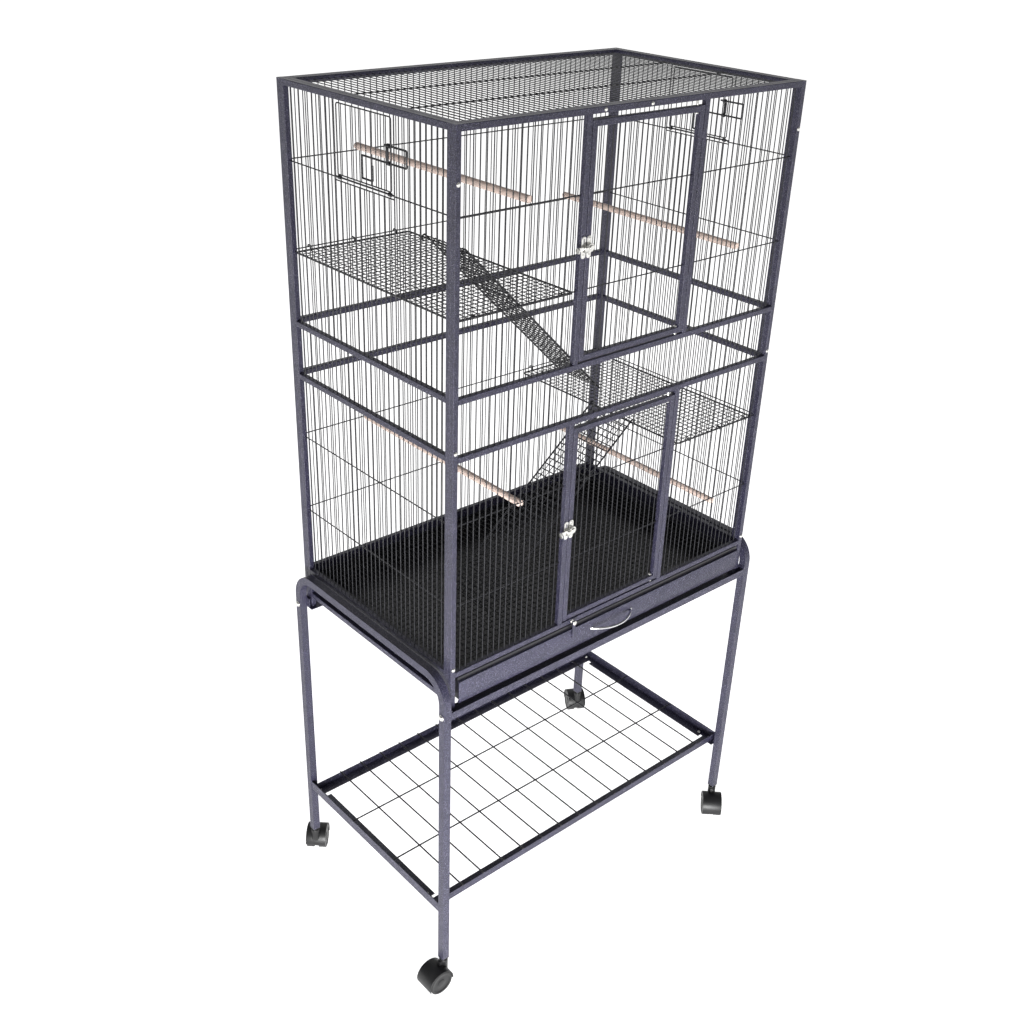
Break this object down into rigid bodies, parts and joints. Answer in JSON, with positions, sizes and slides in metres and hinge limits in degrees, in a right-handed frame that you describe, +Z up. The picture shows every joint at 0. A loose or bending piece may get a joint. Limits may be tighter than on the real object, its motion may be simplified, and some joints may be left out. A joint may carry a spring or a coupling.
{
  "type": "bird cage on stand",
  "caption": "Tall rectangular wire bird cage with two doors, ramps, perches and a pull-out tray on a rolling stand with a wire shelf.",
  "frame": {"origin": "on the floor, under the centre of the stand's four legs", "axes": "+Z up, +Y from the doors towards the back, +X to the right as seen from the doors"},
  "size_m": [0.8815, 0.5571, 1.624],
  "materials": {
    "frame_coat": "hammered powder coat, charcoal grey",
    "wire_coat": "satin powder coat, near black",
    "zinc": "bright zinc plate",
    "chrome": "polished",
    "black_plastic": "moulded, matte",
    "perch_wood": "bare turned dowel"
  },
  "bodies": {
    "frame": {"stand_side_left": "frame_coat", "stand_side_right": "frame_coat", "stand_rails": "frame_coat", "shelf_rails": "frame_coat", "shelf_grid": "wire_coat", "stand_bolts": "zinc", "leg_plugs": "black_plastic", "front_panel_frame": "frame_coat", "front_panel_wires": "wire_coat", "back_panel_frame": "frame_coat", "back_panel_wires": "wire_coat", "left_panel_frame": "frame_coat", "left_panel_wires": "wire_coat", "right_panel_frame": "frame_coat", "right_panel_wires": "wire_coat", "top_panel_frame": "frame_coat", "top_panel_wires": "wire_coat", "panel_bolts": "zinc", "door_hinge_pins": "zinc", "latch_catches": "zinc", "feeder_hinge_wires": "wire_coat", "upper_platform": "wire_coat", "lower_platform": "wire_coat", "upper_ramp": "wire_coat", "lower_ramp": "wire_coat", "perch_upper_left": "perch_wood", "perch_upper_right": "perch_wood", "perch_lower_left": "perch_wood", "perch_lower_right": "perch_wood", "tray_catch_screw": "zinc", "tray_housing": "frame_coat"},
    "upper_door": {"upper_door_frame": "frame_coat", "upper_door_wires": "wire_coat", "upper_latch_plate": "zinc"},
    "upper_latch": {"upper_latch_tongue": "zinc"},
    "lower_door": {"lower_door_frame": "frame_coat", "lower_door_wires": "wire_coat", "lower_latch_plate": "zinc"},
    "lower_latch": {"lower_latch_tongue": "zinc"},
    "tray": {"tray": "wire_coat", "tray_front": "frame_coat", "tray_handle": "chrome"},
    "floor_grate": {"floor_grate": "wire_coat"},
    "tray_catch": {"tray_catch": "frame_coat"},
    "feeder_door_left": {"feeder_door_left": "wire_coat"},
    "feeder_bolt_left": {"feeder_bolt_left": "wire_coat"},
    "feeder_door_right": {"feeder_door_right": "wire_coat"},
    "feeder_bolt_right": {"feeder_bolt_right": "wire_coat"},
    "caster_front_left": {"caster_hood_front_left": "black_plastic"},
    "caster_wheel_front_left_a": {"caster_wheel_front_left_a": "black_plastic"},
    "caster_wheel_front_left_b": {"caster_wheel_front_left_b": "black_plastic"},
    "caster_front_right": {"caster_hood_front_right": "black_plastic"},
    "caster_wheel_front_right_a": {"caster_wheel_front_right_a": "black_plastic"},
    "caster_wheel_front_right_b": {"caster_wheel_front_right_b": "black_plastic"},
    "caster_back_left": {"caster_hood_back_left": "black_plastic"},
    "caster_wheel_back_left_a": {"caster_wheel_back_left_a": "black_plastic"},
    "caster_wheel_back_left_b": {"caster_wheel_back_left_b": "black_plastic"},
    "caster_back_right": {"caster_hood_back_right": "black_plastic"},
    "caster_wheel_back_right_a": {"caster_wheel_back_right_a": "black_plastic"},
    "caster_wheel_back_right_b": {"caster_wheel_back_right_b": "black_plastic"}
  },
  "joints": [
    {"name": "upper_door_hinge", "type": "hinge", "parent": "frame", "child": "upper_door", "pos_m": [0.109, -0.219, 1.4175], "axis": [0, 0, 1], "range_deg": [0, 130]},
    {"name": "upper_latch_pivot", "type": "hinge", "parent": "upper_door", "child": "upper_latch", "pos_m": [-0.1185, -0.2297, 1.4175], "axis": [0, 1, 0], "range_deg": [0, 60]},
    {"name": "lower_door_hinge", "type": "hinge", "parent": "frame", "child": "lower_door", "pos_m": [0.109, -0.219, 0.92], "axis": [0, 0, 1], "range_deg": [0, 130]},
    {"name": "lower_latch_pivot", "type": "hinge", "parent": "lower_door", "child": "lower_latch", "pos_m": [-0.1185, -0.2297, 0.92], "axis": [0, 1, 0], "range_deg": [0, 60]},
    {"name": "tray_slide", "type": "slide", "parent": "frame", "child": "tray", "axis": [0, -1, 0], "range_m": [0, 0.4]},
    {"name": "grate_slide", "type": "slide", "parent": "frame", "child": "floor_grate", "axis": [0, -1, 0], "range_m": [0, 0.4]},
    {"name": "tray_catch_turn", "type": "hinge", "parent": "frame", "child": "tray_catch", "pos_m": [-0.101, -0.2308, 0.721], "axis": [0, 1, 0], "range_deg": [-90, 90]},
    {"name": "feeder_left_hinge", "type": "hinge", "parent": "frame", "child": "feeder_door_left", "pos_m": [-0.376, 0.0022, 1.4985], "axis": [0, -1, 0], "range_deg": [0, 120]},
    {"name": "feeder_left_bolt_slide", "type": "slide", "parent": "feeder_door_left", "child": "feeder_bolt_left", "axis": [0, 1, 0], "range_m": [0, 0.038]},
    {"name": "feeder_right_hinge", "type": "hinge", "parent": "frame", "child": "feeder_door_right", "pos_m": [0.376, 0.0022, 1.4985], "axis": [0, 1, 0], "range_deg": [0, 120]},
    {"name": "feeder_right_bolt_slide", "type": "slide", "parent": "feeder_door_right", "child": "feeder_bolt_right", "axis": [0, 1, 0], "range_m": [0, 0.038]},
    {"name": "caster_front_left_swivel", "type": "hinge", "parent": "frame", "child": "caster_front_left", "pos_m": [-0.3955, -0.2275, 0.07], "axis": [0, 0, 1], "continuous": true},
    {"name": "caster_wheel_front_left_a_spin", "type": "hinge", "parent": "caster_front_left", "child": "caster_wheel_front_left_a", "pos_m": [-0.4155, -0.2275, 0.025], "axis": [0, -1, 0], "continuous": true},
    {"name": "caster_wheel_front_left_b_spin", "type": "hinge", "parent": "caster_front_left", "child": "caster_wheel_front_left_b", "pos_m": [-0.4155, -0.2275, 0.025], "axis": [0, -1, 0], "continuous": true},
    {"name": "caster_front_right_swivel", "type": "hinge", "parent": "frame", "child": "caster_front_right", "pos_m": [0.3955, -0.2275, 0.07], "axis": [0, 0, 1], "continuous": true},
    {"name": "caster_wheel_front_right_a_spin", "type": "hinge", "parent": "caster_front_right", "child": "caster_wheel_front_right_a", "pos_m": [0.38136, -0.24164, 0.025], "axis": [0.7071, -0.7071, 0], "continuous": true},
    {"name": "caster_wheel_front_right_b_spin", "type": "hinge", "parent": "caster_front_right", "child": "caster_wheel_front_right_b", "pos_m": [0.38136, -0.24164, 0.025], "axis": [0.7071, -0.7071, 0], "continuous": true},
    {"name": "caster_back_left_swivel", "type": "hinge", "parent": "frame", "child": "caster_back_left", "pos_m": [-0.3955, 0.2275, 0.07], "axis": [0, 0, 1], "continuous": true},
    {"name": "caster_wheel_back_left_a_spin", "type": "hinge", "parent": "caster_back_left", "child": "caster_wheel_back_left_a", "pos_m": [-0.38186, 0.24213, 0.025], "axis": [-0.7314, 0.682, 0], "continuous": true},
    {"name": "caster_wheel_back_left_b_spin", "type": "hinge", "parent": "caster_back_left", "child": "caster_wheel_back_left_b", "pos_m": [-0.38186, 0.24213, 0.025], "axis": [-0.7314, 0.682, 0], "continuous": true},
    {"name": "caster_back_right_swivel", "type": "hinge", "parent": "frame", "child": "caster_back_right", "pos_m": [0.3955, 0.2275, 0.07], "axis": [0, 0, 1], "continuous": true},
    {"name": "caster_wheel_back_right_a_spin", "type": "hinge", "parent": "caster_back_right", "child": "caster_wheel_back_right_a", "pos_m": [0.4052, 0.24499, 0.025], "axis": [-0.8746, 0.4848, 0], "continuous": true},
    {"name": "caster_wheel_back_right_b_spin", "type": "hinge", "parent": "caster_back_right", "child": "caster_wheel_back_right_b", "pos_m": [0.4052, 0.24499, 0.025], "axis": [-0.8746, 0.4848, 0], "continuous": true}
  ]
}
